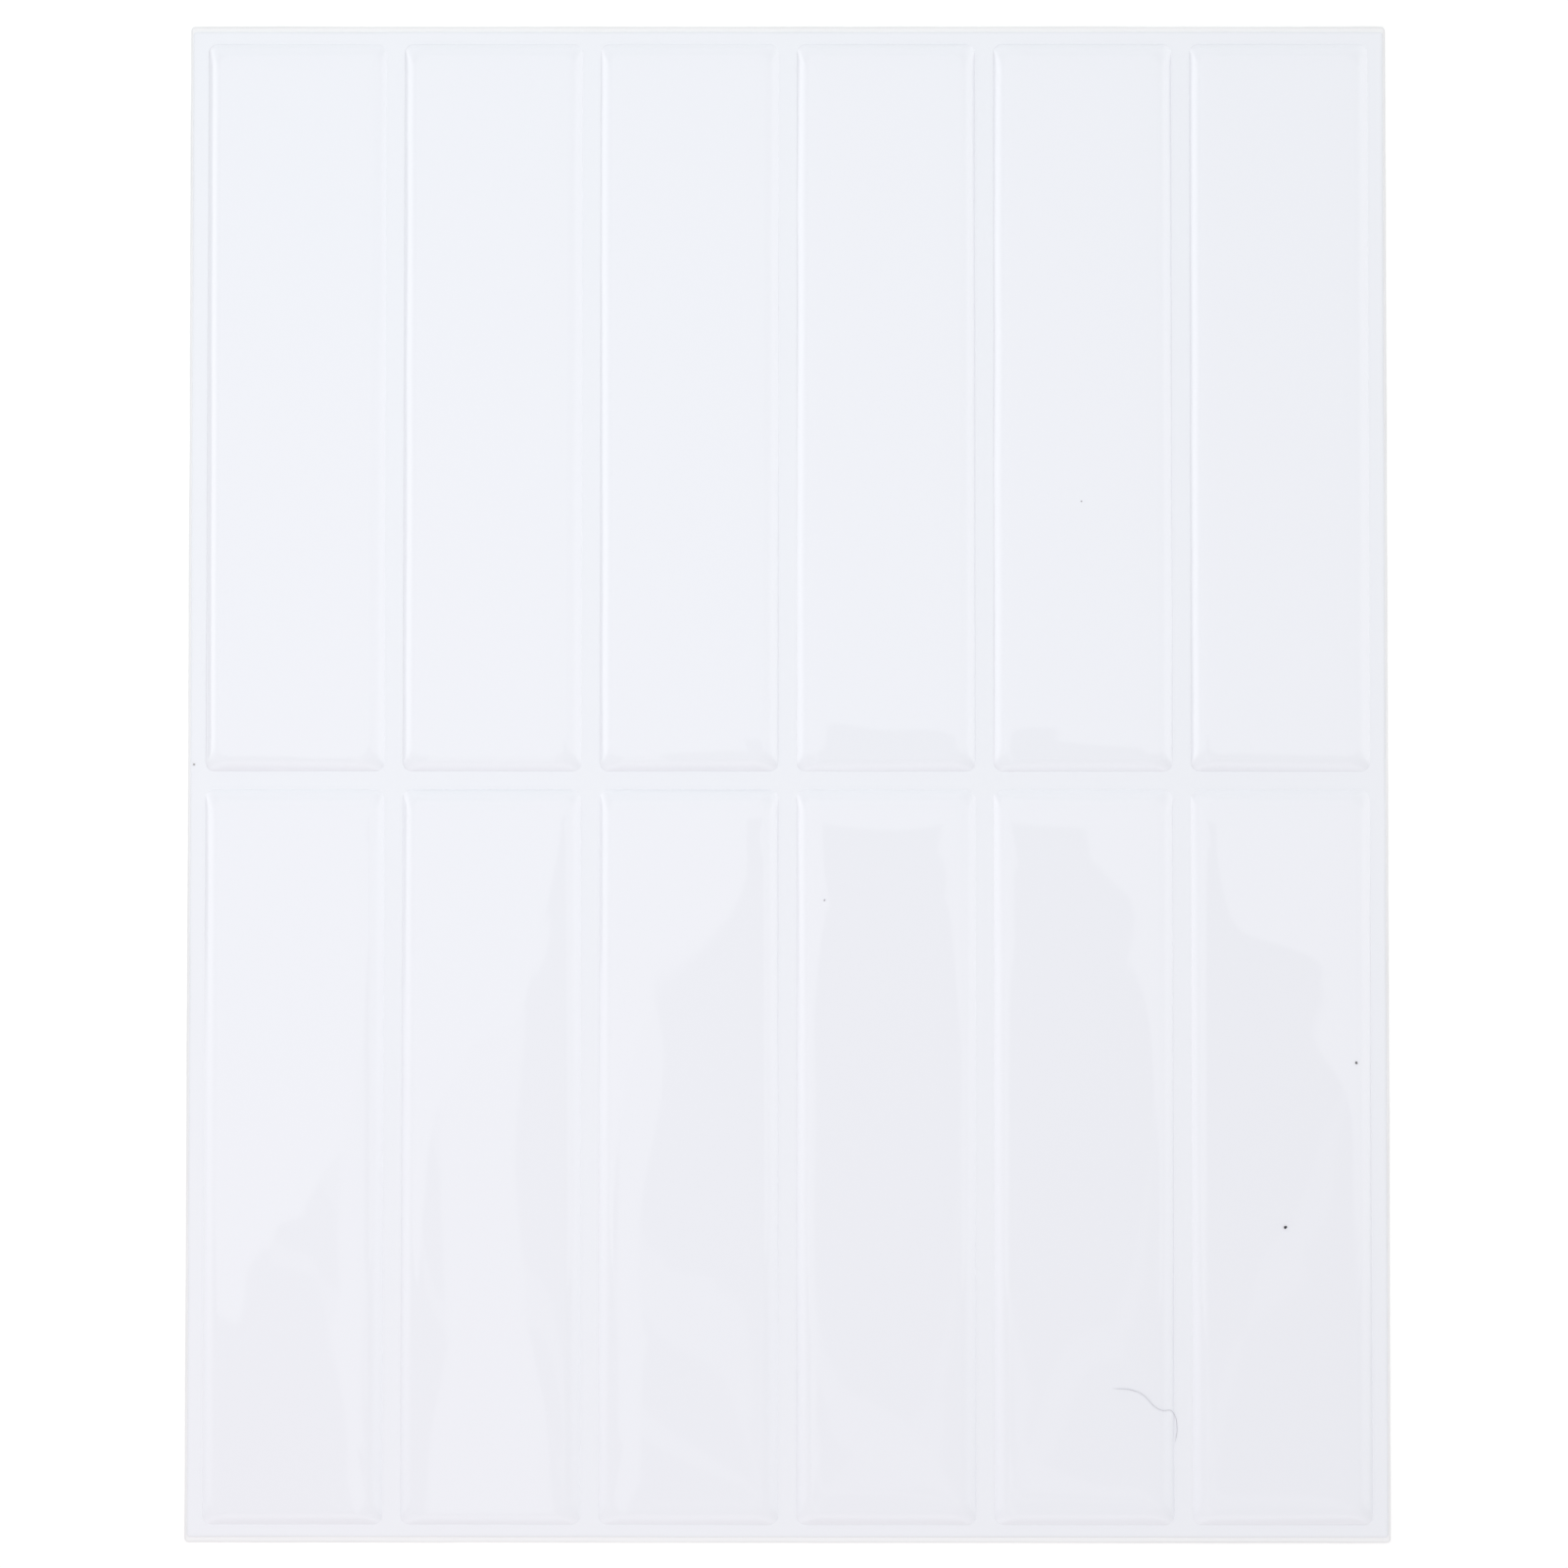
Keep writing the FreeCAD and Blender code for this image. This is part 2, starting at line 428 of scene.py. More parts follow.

# %% [markdown]
# ## The resin tiles
#
# Doming resin is poured inside the tile's outline and stops at it, so it stands as a meniscus: steep
# at the foot, then bending over a shoulder of three millimetres into a level crown. A bevelled box
# would have a flat chamfer and a hard line at its top, so the shape is a formula instead, the same
# one that the CAD solid follows.
#
# Two things come on top of it. Real resin goes on bending a little beyond the shoulder, so a longer
# tail leaves the crown's edge up to a tenth of a millimetre lower than its middle. And casting
# leaves each crown with its own slight lean, a faint swell in the middle, and an unevenness of some
# hundredths of a millimetre, which nobody sees as shape and everybody sees as a reflection that
# wavers. Where the resin stops, a painted shade darkens its colour in a line along its left feet,
# most of all in the upper row. It stands for the contact shadow at the foot.

# %% Shape of one tile
TILE_WALK = walk_round(long_steps=84, short_steps=22, corner_steps=9)
SHOULDER_RINGS = 18
CROWN_RINGS = 34
CROWN_CROWDING = 1.8
TAIL_LENGTH = 2.0 * MM
TAIL_SHARE = 0.32
FOOT_WAVES = range(5, 40, 3)     # how many times each wave of the foot's wandering goes round it
FOOT_STRAY = 0.05 * MM
# Painted shade at the resin's foot: how far in it fades, and how it turns from the left side to the
# right.
FOOT_SHADE_WIDTH = 0.25 * MM
FOOT_SHADE_TURN = 1.3
SUNK = 0.02 * MM                 # how far the resin reaches into the film's top


def resin_tile(low, high, seed, swell, slope, tilt, foot_shade_strength):
    """The rings of one tile from its foot to the middle of its crown, and its painted foot shade.

    With u the share of the shoulder passed, 0 at the foot and 1 at the crown, a ring lies u times
    the shoulder's width inside the foot. Its height is H (1 - (1 - u)^2), and its corner radius goes
    from the foot's to the crown's. On the crown the rings shrink towards the middle by their scale
    t, and the swell adds swell (1 - t^2)^2. The unevenness and the lean, whose slopes across and
    along are the tilt, fade in with 1 - (1 - u)^2. A share of the rise isn't made by the shoulder's
    law but by a longer tail, exp(-d / TAIL_LENGTH) summed for the distances d from the nearest side
    and end, and divided by its value at the foot. The foot shade is painted shade for the contact
    shadow where the resin stops. It fades over FOOT_SHADE_WIDTH on the way in, and it is full on the
    left side, where the outward direction's x is -1, and gone on the right, by ((1 - x) / 2) to the
    power FOOT_SHADE_TURN.
    """
    middle = np.array((low + high).xy) / 2
    half_size = np.array((high - low).xy) / 2
    rise = high.z - FILM_HIGH.z

    u = np.linspace(0, 1, SHOULDER_RINGS)[:, None] ** 2
    corner = TILE_CORNER + (CROWN_CORNER - TILE_CORNER) * u[:, 0]
    shoulder = outline(TILE_WALK, half_size - u * SHOULDER, corner)
    stray = wander(share_round(shoulder[0]), seed, FOOT_WAVES, FOOT_STRAY)
    shoulder += stray[:, None] * TILE_WALK[1] * (1 - u[..., None])
    shoulder_height = rise * (1 - (1 - u) ** DOME_POWER)

    t = 1 - np.linspace(0, 1, CROWN_RINGS + 1)[1:, None] ** CROWN_CROWDING
    crown = shoulder[-1] * t[..., None]
    crown_height = rise + swell * (1 - t**2) ** 2

    flat = np.concatenate([shoulder[:1], shoulder, crown]) + middle
    inward = np.concatenate([0 * u[:1], u, 1 + 0 * t])
    height = np.concatenate([shoulder_height[:1] - SUNK, shoulder_height, crown_height])
    weight = 1 - (1 - inward) ** 2
    uneven = unevenness(flat[..., 0], flat[..., 1], seed, slope) + (flat - middle) @ tilt
    tail = np.exp((np.abs(flat - middle) - half_size) / TAIL_LENGTH).sum(axis=-1)
    sag = TAIL_SHARE * rise * ((1 - inward) ** DOME_POWER - tail / tail[0])
    height = FILM_HIGH.z + height + sag + uneven * weight
    points = np.concatenate([flat, height[..., None]], axis=-1)
    # The painted shade along the foot, for the contact shadow where the resin stops.
    fading = np.exp(-inward * SHOULDER / FOOT_SHADE_WIDTH)
    side = ((1 - TILE_WALK[1][:, 0]) / 2) ** FOOT_SHADE_TURN
    line = foot_shade_strength * fading * side
    return points[:-1], points[-1, 0], line[:-1]


# %% Cast the twelve tiles
SWELL = (0.01 * MM, 0.08 * MM)   # the least and the most
SLOPE = 0.005                    # the unevenness's, in metres per metre
LEAN = (0.011, 0.003)            # the most across and the most along
# How strong the painted shade at the resin's foot is in each row, the least and the most.
FOOT_SHADE_STRENGTH = {"lower": (0.1, 0.4), "upper": (0.7, 1.0)}
triangles = 0
for number, node in enumerate(TILE_NODES):
    low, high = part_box(node)
    random = np.random.default_rng(100 + number)
    swell = random.uniform(*SWELL)
    tilt = random.uniform(-1, 1, 2) * LEAN
    foot_shade_strength = random.uniform(*FOOT_SHADE_STRENGTH[node.split("_")[1]])
    rings, top, line = resin_tile(low, high, 200 + number, swell, SLOPE, tilt, foot_shade_strength)
    pole = [*((low + high) / 2).xy, FILM_HIGH.z - SUNK]
    tile = closed_shell(node.replace("tile_", "resin_"), rings, pole, top, masks={"painted_edge_shade": line})
    triangles += put_in_place(tile, RESIN, [node])

# %% [markdown]
# ## The film and the liner
#
# Both are thin sheets cut with a knife. Seen from above they are only a grid of bare lines and two
# hairline edges, but those edges are what the eye reads as thickness. The liner sticks out from
# under the film by about half a millimetre at the sides and one millimetre at the ends. Each sheet
# is a closed shell of a few rings: the underside, the cut with a slightly broken rim, and the top.
# The film's cut and the liner's cut wander separately, so the liner shows more in some places than
# in others, and it curls up a little at its rim. Along each cut the colour is darkened in a patchy
# line of painted shade, which stands for the contact shadow at the sheet's edge.

# %% Shape of a cut sheet
SHEET_WALK = walk_round(long_steps=150, short_steps=120, corner_steps=6)
FACE_INSETS = (10 * MM, 1.0 * MM, 0.6 * MM, 0.3 * MM)    # where the rings of a face lie
LEAST_CORNER = 0.3 * MM
CURL_WIDTH = 1.0 * MM
CUT_SHADE_WIDTH = 0.2 * MM
CUT_WAVES, CURL_WAVES, PATCH_WAVES = range(3, 60, 4), range(2, 30, 3), range(4, 40, 3)
PATCH_MIDDLE, PATCH_SWING, PATCH_LEAST = 0.7, 0.5, 0.2


def cut_sheet(low, high, corner, rim, seed, stray_size, curl=0.0):
    """The rings of a thin sheet, from the middle of its underside out, up the cut and back in over
    the top, and its painted edge shade. The rim is how much the knife rounds the cut's two edges, and a
    nick is the rounding's own middle point. The cut strays inwards, by nothing to twice the stray
    size. The curl lifts the outermost CURL_WIDTH, with the square of how far out it is, more in
    some places than in others. The painted edge shade darkens the colour for the contact shadow at
    the cut. It fades over CUT_SHADE_WIDTH and is patchy."""
    half_size = np.array((high - low).xy) / 2
    nick = 0.3 * rim
    underside = [(inset, low.z) for inset in FACE_INSETS]
    top = [(inset, high.z) for inset in reversed(FACE_INSETS)]
    cut = [
        (rim, low.z),
        (nick, low.z + nick),
        (0.0, low.z + rim),
        (0.0, high.z - rim),
        (nick, high.z - nick),
        (rim, high.z),
    ]
    inset, height = np.array(underside + cut + top).T[..., None]
    flat = outline(SHEET_WALK, half_size - inset, np.maximum(corner - inset[:, 0], LEAST_CORNER))
    share = share_round(outline(SHEET_WALK, half_size, corner))
    stray = wander(share, seed, CUT_WAVES, stray_size) - stray_size
    flat += SHEET_WALK[1] * (stray * (1 - inset / FACE_INSETS[0]))[..., None]
    lift = curl + wander(share, seed + 1, CURL_WAVES, 0.6 * curl)
    height = height + lift * np.clip(1 - inset / CURL_WIDTH, 0, 1) ** 2
    patches = PATCH_MIDDLE + wander(share, seed + 2, PATCH_WAVES, PATCH_SWING)
    line = np.exp(-inset / CUT_SHADE_WIDTH) * np.clip(patches, PATCH_LEAST, 1)
    return np.concatenate([flat, height[..., None]], axis=-1), line


# %% Cut the film and the liner
# Each sheet's mask is painted shade along its cut, for the contact shadow at its edge.
rings, line = cut_sheet(
    FILM_LOW, FILM_HIGH, FILM_CORNER, rim=0.05 * MM, seed=31, stray_size=0.07 * MM
)
poles = (0, 0, FILM_LOW.z), (0, 0, FILM_HIGH.z)
film = closed_shell("film", rings, *poles, masks={"painted_edge_shade": line})
triangles += put_in_place(film, FILM, ["backing_film"])
rings, line = cut_sheet(
    LINER_LOW, LINER_HIGH, LINER_CORNER, rim=0.02 * MM, seed=47, stray_size=0.09 * MM, curl=0.2 * MM
)
poles = (0, 0, LINER_LOW.z), (0, 0, LINER_HIGH.z)
liner = closed_shell("liner", rings, *poles, masks={"painted_edge_shade": line})
triangles += put_in_place(liner, LINER, ["release_liner"])

# %% [markdown]
# ## What has settled on it
#
# Glossy resin picks up dust. Two dark specks, three grey ones and a curled lint fibre lie on this
# sheet. They are real little solids that rest on whatever is below them, so their height is found
# by looking straight down at the sheet from above them.

# %% Find the surface below a point
LOOK_FROM = 20 * MM
DOWN = Vector((0, 0, -1))
DUST_DRIFT, DUST_PALER, DUST_ROUGHNESS = 6000.0, 1.5, 0.9


def surface_height(x, y):
    """The height of the sheet's surface at a place, found with a ray from above."""
    graph = bpy.context.evaluated_depsgraph_get()
    hit, place, *_ = bpy.context.scene.ray_cast(graph, Vector((x, y, LOOK_FROM)), DOWN)
    return place.z if hit else 0.0


def dust_material(name, colour):
    """Matt dirt whose colour drifts between the given one and one DUST_PALER times as light."""
    material = bpy.data.materials.new(name)
    material.use_nodes = True
    tree = material.node_tree
    shader = next(node for node in tree.nodes if node.type == "BSDF_PRINCIPLED")
    drift = tree.nodes.new("ShaderNodeGroup")
    drift.node_tree = TINT_DRIFT
    drift.inputs["Tint"].default_value = (*colour, 1)
    drift.inputs["Other Tint"].default_value = (*(channel * DUST_PALER for channel in colour), 1)
    drift.inputs["Scale"].default_value = DUST_DRIFT
    tree.links.new(drift.outputs[0], shader.inputs["Base Color"])
    shader.inputs["Roughness"].default_value = DUST_ROUGHNESS
    return material


# %% Shape of a speck
# Each speck's place on the sheet and its size, in millimetres, and its colour.
SPECKS = {
    "dust_speck_1": ((99.5, -89.3), 0.56, (0.03, 0.03, 0.035)),
    "dust_speck_2": ((113.8, -56.5), 0.46, (0.12, 0.12, 0.12)),
    "dust_speck_3": ((59.0, 56.1), 0.3, (0.4, 0.4, 0.42)),
    "dust_speck_4": ((7.4, -24.0), 0.34, (0.4, 0.4, 0.42)),
    "dust_speck_5": ((-119.3, 3.2), 0.4, (0.35, 0.34, 0.33)),
}
FLATTENED = 0.66
SPECK_RINGS, SPECK_STEPS = 12, 18
LUMP_TURNS, LUMP_HEIGHT = (2, 3, 5), (0.05, 0.16)


def speck(centre, across, seed):
    """A lumpy grain: a sphere whose radius swells with a few waves round it and along it, flattened
    to two thirds. The waves fade towards the poles with the sine of the polar angle."""
    random = np.random.default_rng(seed)
    polar = np.linspace(math.pi, 0, SPECK_RINGS)[1:-1, None]
    around = np.linspace(0, 2 * math.pi, SPECK_STEPS, endpoint=False)[None]
    lumps = 1 + np.sin(polar) * sum(
        random.uniform(*LUMP_HEIGHT) * np.sin(turns * around + random.uniform(0, 6) + polar * turns)
        for turns in LUMP_TURNS
    )
    radius = across / 2 * lumps
    across_x = np.sin(polar) * np.cos(around)
    across_y = np.sin(polar) * np.sin(around)
    upward = FLATTENED * np.cos(polar) + 0 * around
    rings = np.stack([radius * part for part in (across_x, across_y, upward)], axis=-1) + centre
    half_height = np.array([0, 0, FLATTENED / 2 * across])
    return rings, centre - half_height, centre + half_height


# %% Drop the specks on the sheet
SPECK_RESTS_AT = 0.3             # the height of a speck's middle, as a share of its size
for number, (name, (place, across, colour)) in enumerate(SPECKS.items()):
    x, y = (value * MM for value in place)
    centre = np.array([x, y, surface_height(x, y) + SPECK_RESTS_AT * across * MM])
    grain = closed_shell(name, *speck(centre, across * MM, 300 + number), sharp_degrees=180)
    triangles += put_in_place(grain, dust_material(name, colour))

# %% [markdown]
# The fibre is a tube carried along a smooth route. The route's points are listed, in
# millimetres on the sheet, and a Catmull-Rom curve runs through them. At each step the tube follows
# the surface below, so it drops over the tile's shoulder as a real thread does, and between its
# resting places it arches up by about its own thickness.

# %% A route and a tube round it
FIBRE_ROUTE = np.array([
    (65.0, -121.4), (68.2, -121.6), (70.9, -122.6), (73.2, -124.9), (74.9, -125.8),
    (76.7, -125.9), (77.7, -127.6), (77.9, -129.8), (77.6, -132.2),
])


def smooth_route(points, steps):
    """A Catmull-Rom curve: between two points it is the cubic whose slope at each of them is half
    the way from the point before to the point after."""
    padded = np.concatenate([[2 * points[0] - points[1]], points, [2 * points[-1] - points[-2]]])
    t = np.linspace(0, 1, steps, endpoint=False)[:, None]
    spans = []
    for before, start, end, after in zip(padded, padded[1:], padded[2:], padded[3:]):
        spans.append(
            start
            + t * (end - before) / 2
            + t**2 * (before - 2.5 * start + 2 * end - after / 2)
            + t**3 * (1.5 * (start - end) + (after - before) / 2)
        )
    return np.concatenate([*spans, points[-1:]])


def tube(path, thickness, around=8):
    """A tube round a path: at each point a circle across the path's direction. Its radius grows from
    the ends with 6 sin(pi w), where w is the share of the way, from 0.35 up to its full size."""
    forward = np.gradient(path, axis=0)
    forward /= np.linalg.norm(forward, axis=1, keepdims=True)
    sideways = np.cross([0.0, 0.0, 1.0], forward)
    sideways /= np.linalg.norm(sideways, axis=1, keepdims=True)
    upward = np.cross(forward, sideways)
    angle = np.linspace(0, 2 * math.pi, around, endpoint=False)[None, :, None]
    way = np.linspace(0, 1, len(path))[:, None, None]
    radius = thickness / 2 * np.clip(np.sin(math.pi * way) * 6, 0.35, 1)
    return path[:, None] + radius * (np.cos(angle) * sideways[:, None] + np.sin(angle) * upward[:, None])


# %% Lay the fibre on the sheet
FIBRE_THICKNESS = 0.13 * MM
FIBRE_RESTS_AT = 0.6             # the height of its middle, as a share of its thickness
FIBRE_STEPS = 7
ARCHES = 5
ARCH_HEIGHT = 0.12 * MM
flat_route = smooth_route(FIBRE_ROUTE * MM, FIBRE_STEPS)
heights_below = np.array([surface_height(x, y) for x, y in flat_route])
arch = ARCH_HEIGHT * np.sin(np.linspace(0, ARCHES * math.pi, len(flat_route))) ** 2
route = np.column_stack([flat_route, heights_below + arch + FIBRE_THICKNESS * FIBRE_RESTS_AT])
fibre = closed_shell("lint_fibre", tube(route, FIBRE_THICKNESS), route[0], route[-1], sharp_degrees=180)
triangles += put_in_place(fibre, dust_material("lint_fibre", (0.55, 0.55, 0.58)))
print("triangles in all:", triangles)

# %% [markdown]
# ## The floor
#
# The sheet lies on a plain white floor. To a camera ray the floor also glows a little, which lifts
# it to full white, while the contact shadow round the sheet still shows. Glossy rays see the same
# floor, so a reflection of it is white too.

# %% Floor
FLOOR_SIZE = 12.0
FLOOR_DEPTH = 0.01 * MM
FLOOR_COLOUR, FLOOR_ROUGHNESS = (0.93, 0.93, 0.93, 1), 0.9
FLOOR_GLOW = 0.17
WHITE = (1, 1, 1, 1)


def make_floor():
    """A large square just under the liner."""
    half = FLOOR_SIZE / 2
    corners = [(-half, -half), (half, -half), (half, half), (-half, half)]
    mesh = bpy.data.meshes.new("floor")
    mesh.from_pydata([(x, y, -FLOOR_DEPTH) for x, y in corners], [], [(0, 1, 2, 3)])
    floor = bpy.data.objects.new("floor", mesh)
    bpy.context.scene.collection.objects.link(floor)
    material = bpy.data.materials.new("floor")
    material.use_nodes = True
    tree = material.node_tree
    shader = next(node for node in tree.nodes if node.type == "BSDF_PRINCIPLED")
    shader.inputs["Base Color"].default_value = FLOOR_COLOUR
    shader.inputs["Roughness"].default_value = FLOOR_ROUGHNESS
    shader.inputs["Emission Color"].default_value = WHITE
    rays = tree.nodes.new("ShaderNodeLightPath")
    seen = calculate(tree, "MAXIMUM", rays.outputs["Is Camera Ray"], rays.outputs["Is Glossy Ray"])
    seen = calculate(tree, "MAXIMUM", seen, rays.outputs["Is Transmission Ray"])
    tree.links.new(calculate(tree, "MULTIPLY", seen, FLOOR_GLOW), shader.inputs["Emission Strength"])
    mesh.materials.append(material)


make_floor()
print("floor", FLOOR_SIZE, "m across")

# %% [markdown]
# ## The studio as a dome of light
#
# White gloss is two pictures laid over each other. One is the body's own white, which only asks how
# much light arrives, and in this studio that is nearly even from all sides. The other is the faint
# mirror image on the gloss, four percent strong, and it needs something to show. The world tells the
# two apart by the kind of ray, so the mirror image can be shaped without unbalancing the light.
#
# The world reads the direction in which a ray leaves, as any sky does, and everything in it is made
# from three little shapes: a smooth ramp between two values, a product of ramps, and a blurred band
# round a middle line.

# %% Ramps, products and bands
BLUR = 0.001


def smooth_step(tree, value, start, end):
    """A ramp from 0 at the start to 1 at the end, flat beyond them and eased at both."""
    node = tree.nodes.new("ShaderNodeMapRange")
    node.interpolation_type = "SMOOTHSTEP"
    join(tree, value, node.inputs["Value"])
    join(tree, start, node.inputs["From Min"])
    join(tree, end, node.inputs["From Max"])
    return node.outputs["Result"]


def product(tree, *factors):
    """All the factors multiplied, sockets and numbers alike."""
    result = factors[0]
    for factor in factors[1:]:
        result = calculate(tree, "MULTIPLY", result, factor)
    return result


def distance(tree, value, middle):
    """How far the value is from the middle, on either side."""
    return calculate(tree, "ABSOLUTE", calculate(tree, "SUBTRACT", value, middle))


def band(tree, off_middle, half_width, light):
    """The light where the distance off the middle is below the half width, and 0 past it."""
    return product(tree, smooth_step(tree, off_middle, half_width + BLUR, half_width), light)


# %% [markdown]
# Overhead hangs a soft panel with a darker opening in it, and the lower row mirrors that opening.
# s and t are the slopes of a direction across and along the sheet, so a place on the dome is given
# by the place on the sheet that mirrors it. In those slopes the opening is a flat-topped tower with
# straight sides that stands on a wide base, which slants down to both sides. A pale curtain covers
# its left part, and thin pale slats cross it at a slant.

# %% The panel and its opening
PANEL, PANEL_RIM = 0.65, (0.8, 0.91)
LOWEST = 0.05                    # keeps s and t finite near the horizon
OPENING_FLOOR = -0.11
TOWER_MIDDLE, TOWER_HALF_WIDTH, TOWER_HEIGHT = 0.029, 0.038, 0.14
BASE_MIDDLE, BASE_HALF_WIDTH, BASE_HEIGHT = 0.04, 0.218, 0.136
OPENING_SIDE, OPENING_SHOULDER = (0.19, 0.2), (-0.12, -0.05)
CURTAIN_MIDDLE, CURTAIN_HALF_WIDTH, CURTAIN_LIGHT = -0.08, 0.03, 0.8
# Each slat's slope, its middle at s = 0, half its width, and its light.
SLATS = ((-0.55, -0.135, 0.010, 0.4), (-0.45, -0.17, 0.004, 0.45), (0.9, -0.2, 0.008, 0.3))


def overhead_light(tree, x, y, z):
    """The panel's light by direction. The opening lies below the larger of two heights over its
    floor: the tower's, which is TOWER_HEIGHT within its half width of its middle, and the base's,
    which is BASE_HEIGHT times one minus the distance off its middle over its half width. It ends
    at its sides. The curtain and the slats are bands that light it again, and the panel fades out
    towards its rim."""
    height = calculate(tree, "MAXIMUM", z, LOWEST)
    s = calculate(tree, "DIVIDE", x, height)
    t = calculate(tree, "DIVIDE", y, height)

    tower = band(tree, distance(tree, s, TOWER_MIDDLE), TOWER_HALF_WIDTH, TOWER_HEIGHT)
    off_base = calculate(tree, "DIVIDE", distance(tree, s, BASE_MIDDLE), BASE_HALF_WIDTH)
    base = product(tree, calculate(tree, "SUBTRACT", 1.0, off_base), BASE_HEIGHT)
    edge = calculate(tree, "ADD", calculate(tree, "MAXIMUM", tower, base), OPENING_FLOOR)
    above = smooth_step(tree, calculate(tree, "SUBTRACT", t, edge), -BLUR, BLUR)

    off_centre = calculate(tree, "ABSOLUTE", s)
    beside = product(
        tree,
        smooth_step(tree, off_centre, *OPENING_SIDE),
        smooth_step(tree, t, *OPENING_SHOULDER),
    )
    curtain = band(tree, distance(tree, s, CURTAIN_MIDDLE), CURTAIN_HALF_WIDTH, CURTAIN_LIGHT)
    lit = above
    for part in (beside, curtain):
        lit = calculate(tree, "MAXIMUM", lit, part)
    for slope, middle, half_width, light in SLATS:
        slat_line = calculate(tree, "ADD", product(tree, s, slope), middle)
        slat = band(tree, distance(tree, t, slat_line), half_width, light)
        lit = calculate(tree, "MAXIMUM", lit, slat)
    return product(tree, lit, smooth_step(tree, z, *PANEL_RIM), PANEL)


# %% [markdown]
# The flanks of a dome look sideways, so they mirror the walls. A bright strip stands on either side,
# the left one weaker low down, and the walls near and far are brighter than the room. Low on the
# left wall, beside the upper row, runs a dark skirting that darkens the left feet of that row.

# %% The walls
# Each light, and the skirting's shade, is followed by the limits between which it rises.
LEFT_STRIP, LEFT_ACROSS, LEFT_ALONG, LEFT_UP = 2.1, (-0.45, -0.85), (-0.3, 0.1), (0.1, 0.5)
LEFT_LOW_SHARE = 0.6
RIGHT_STRIP, RIGHT_ACROSS, RIGHT_ALONG = 2.0, (0.3, 0.9), (-0.35, 0.05)
NEAR_WALL, NEAR_START, NEAR_END = 0.7, (-0.46, -0.79), (-0.98, -0.79)
FAR_WALL, FAR_START = 0.7, (0.34, 0.79)
SKIRTING, SKIRTING_UP, SKIRTING_ACROSS, SKIRTING_ALONG = 0.9, (0.39, 0.22), (-0.4, -0.8), (-0.05, 0.0)


def wall_lights(tree, x, y, z):
    """The light of the left and right strips and of the near and far walls, by direction."""
    climb = product(tree, smooth_step(tree, z, *LEFT_UP), 1 - LEFT_LOW_SHARE)
    climb = calculate(tree, "ADD", climb, LEFT_LOW_SHARE)
    left_ramps = smooth_step(tree, x, *LEFT_ACROSS), smooth_step(tree, y, *LEFT_ALONG)
    left = product(tree, *left_ramps, climb, LEFT_STRIP)
    right_ramps = smooth_step(tree, x, *RIGHT_ACROSS), smooth_step(tree, y, *RIGHT_ALONG)
    right = product(tree, *right_ramps, RIGHT_STRIP)
    near_ramps = smooth_step(tree, y, *NEAR_START), smooth_step(tree, y, *NEAR_END)
    near = product(tree, *near_ramps, NEAR_WALL)
    far = product(tree, smooth_step(tree, y, *FAR_START), FAR_WALL)
    return left, right, near, far


def skirting_shade(tree, x, y, z):
    """What the skirting leaves of the light: 1 away from it, 1 - SKIRTING on it."""
    up, across = smooth_step(tree, z, *SKIRTING_UP), smooth_step(tree, x, *SKIRTING_ACROSS)
    along = smooth_step(tree, y, *SKIRTING_ALONG)
    return calculate(tree, "SUBTRACT", 1.0, product(tree, up, across, along, SKIRTING))


# %% [markdown]
# Three pictures of the world are left to choose between. Light that falls on the sheet comes evenly
# from everywhere, a mirrored ray sees the room, the panel and the walls, and the camera sees plain
# white behind the floor.

# %% World
EVEN_LIGHT = (0.81, 0.81, 0.81, 1)
ROOM = 0.75


def chosen_by(tree, ray, otherwise, when):
    """One of two colours: when, for rays of that kind, and otherwise for all the rest."""
    node = tree.nodes.new("ShaderNodeMix")
    node.data_type = "RGBA"
    tree.links.new(ray, node.inputs["Factor"])
    join(tree, otherwise, node.inputs["A"])
    join(tree, when, node.inputs["B"])
    return node.outputs["Result"]


def make_studio_dome():
    """The world: for gloss, the room's level plus the panel and the walls, times the skirting's
    shade. Even light for everything else, and white for the camera."""
    world = bpy.data.worlds.new("studio_dome")
    bpy.context.scene.world = world
    world.use_nodes = True
    tree = world.node_tree
    background = next(node for node in tree.nodes if node.type == "BACKGROUND")
    place = tree.nodes.new("ShaderNodeTexCoord")
    split = tree.nodes.new("ShaderNodeSeparateXYZ")
    tree.links.new(place.outputs["Generated"], split.inputs[0])

    level = ROOM
    for part in (overhead_light(tree, *split.outputs), *wall_lights(tree, *split.outputs)):
        level = calculate(tree, "ADD", level, part)
    level = product(tree, level, skirting_shade(tree, *split.outputs))

    rays = tree.nodes.new("ShaderNodeLightPath")
    mirrored = chosen_by(tree, rays.outputs["Is Glossy Ray"], EVEN_LIGHT, level)
    light = chosen_by(tree, rays.outputs["Is Camera Ray"], mirrored, WHITE)
    tree.links.new(light, background.inputs["Color"])
    background.inputs["Strength"].default_value = 1.0
    print("studio dome:", len(tree.nodes), "nodes")


make_studio_dome()

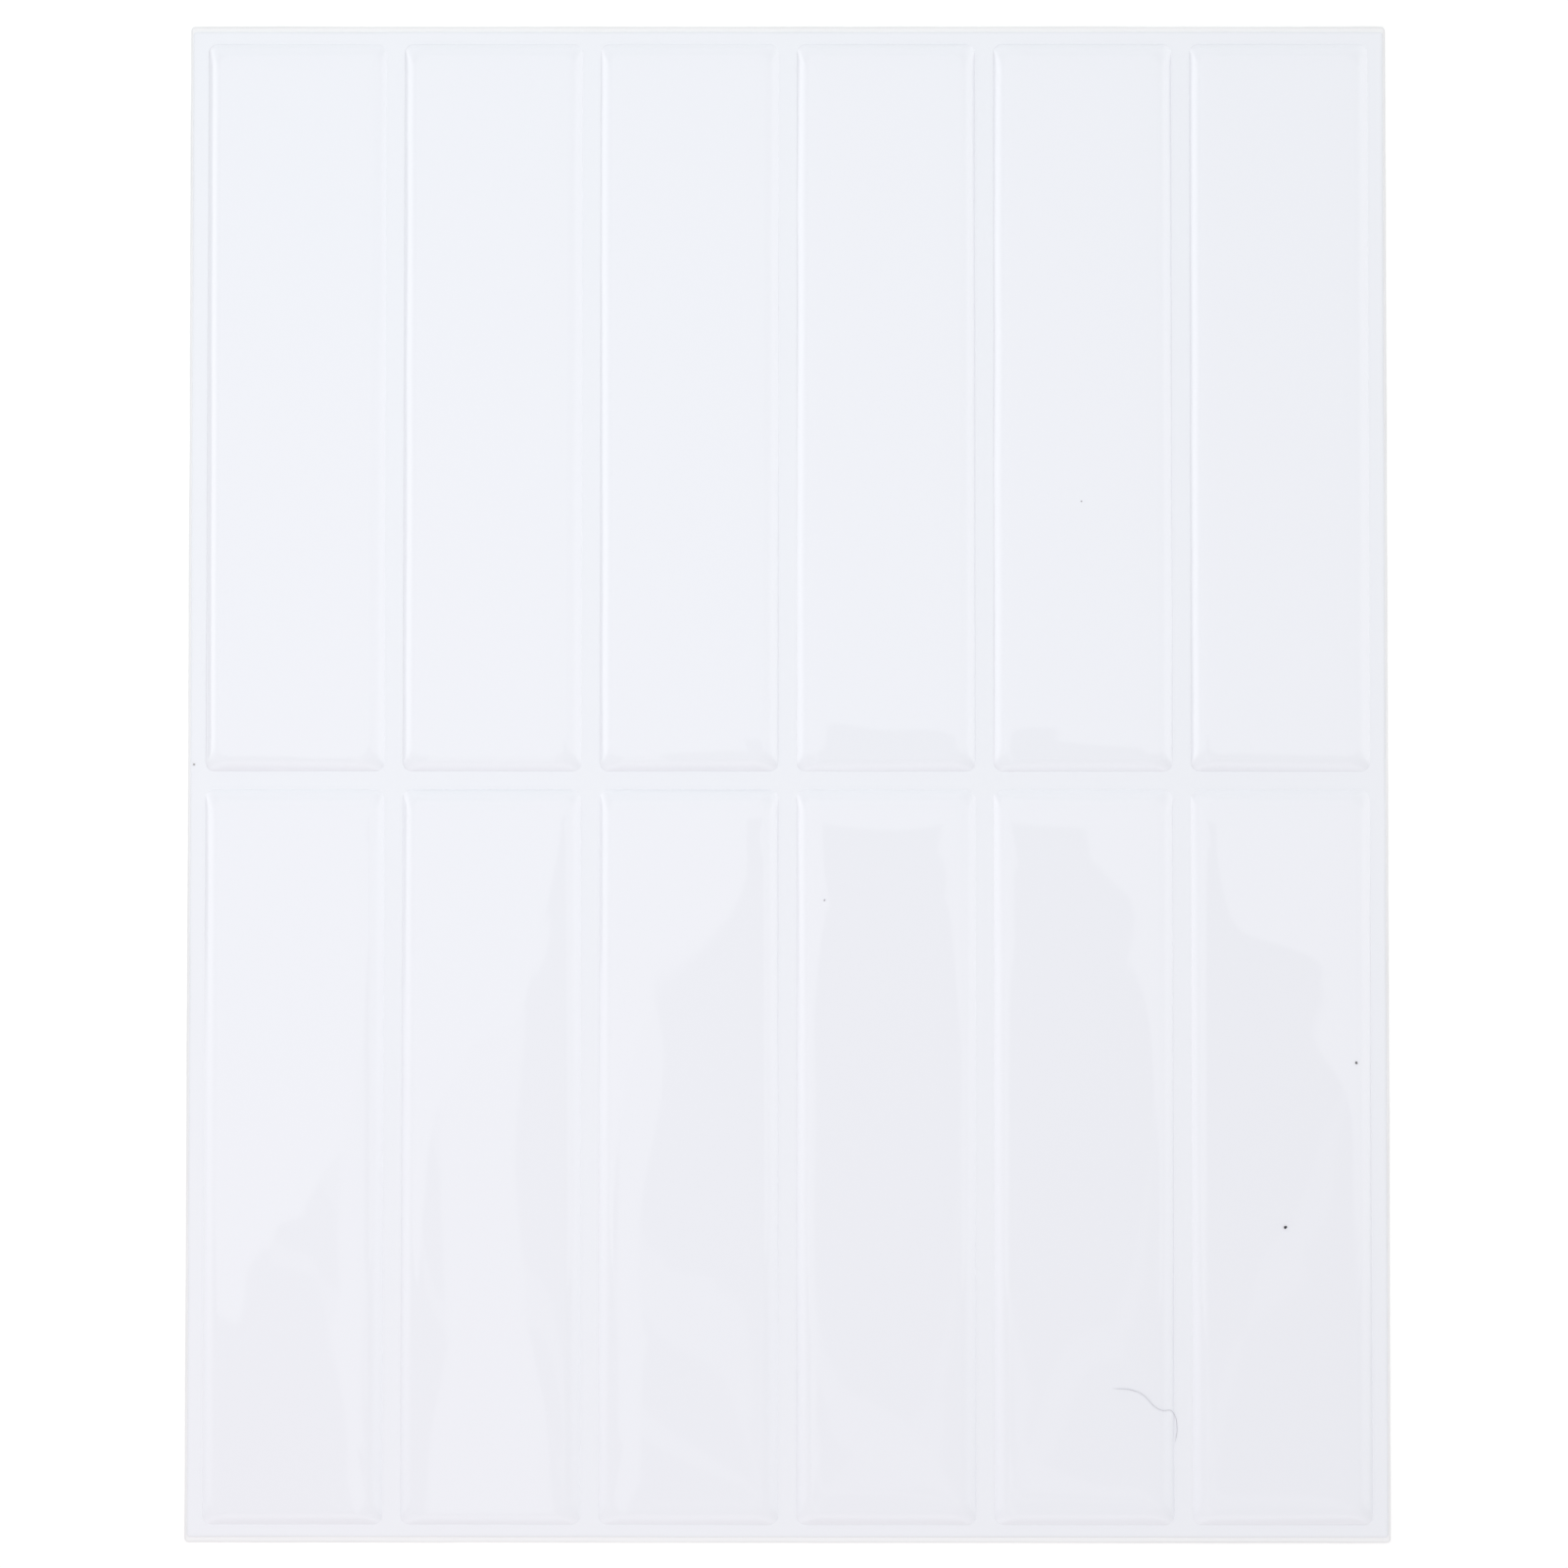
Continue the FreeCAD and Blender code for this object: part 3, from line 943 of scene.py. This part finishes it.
# %% [markdown]
# Two lamps stand outside the picture. A large, slightly cool softbox at the upper left is close
# enough for its light to fall off across the sheet, which is why the lower right corner is a little
# darker. A weaker rosy bounce at the lower left is what a warm wall gives back, and it turns the
# lower row's white a touch pink. Neither shows in the gloss, which already has its picture.

# %% Lamps
def add_lamp(name, place, size, watts, colour):
    """A square area lamp that looks at the middle of the sheet."""
    lamp = bpy.data.lights.new(name, "AREA")
    lamp.shape = "SQUARE"
    lamp.size = size
    lamp.energy = watts
    lamp.color = colour
    stand = bpy.data.objects.new(name, lamp)
    stand.location = place
    stand.rotation_mode = "QUATERNION"
    stand.rotation_quaternion = (-Vector(place)).to_track_quat("-Z", "Y")
    stand.visible_camera = False
    stand.visible_glossy = False
    bpy.context.scene.collection.objects.link(stand)


add_lamp("softbox", place=(-0.14, 0.12, 0.5), size=0.35, watts=0.44, colour=(0.82, 1.0, 1.0))
add_lamp("wall_bounce", place=(-0.2, -0.3, 0.5), size=0.35, watts=0.22, colour=(1.0, 0.52, 0.6))
print("lamps:", [lamp.name for lamp in bpy.data.lights])

# %% [markdown]
# ## The camera
#
# The photograph looks down on the sheet almost squarely. Its lower edge is about one percent wider
# in the picture than its upper edge, so the camera leans back by a degree and a half. The place and
# the lean follow from the four corners of the sheet, for a portrait lens of 85 mm.

# %% Camera
CAMERA_PLACE = (1.1 * MM, -20.4 * MM, 744.0 * MM)
CAMERA_LEAN = (1.518, 0.139, 0.022)        # in degrees

lens = bpy.data.cameras.new("camera")
lens.lens = 85.0
lens.sensor_width = 36.0
lens.clip_start = 0.01
lens.clip_end = 100.0
camera = bpy.data.objects.new("camera", lens)
camera.location = CAMERA_PLACE
camera.rotation_euler = Euler([math.radians(angle) for angle in CAMERA_LEAN])
bpy.context.scene.collection.objects.link(camera)
bpy.context.scene.camera = camera
bpy.context.scene.view_settings.view_transform = "Standard"
print("camera", round(camera.location.length, 3), "m from the sheet's middle")

# %% [markdown]
#
# The dressed sheet has to fill the same box as the CAD model.

# %% Finish
bpy.context.view_layer.update()
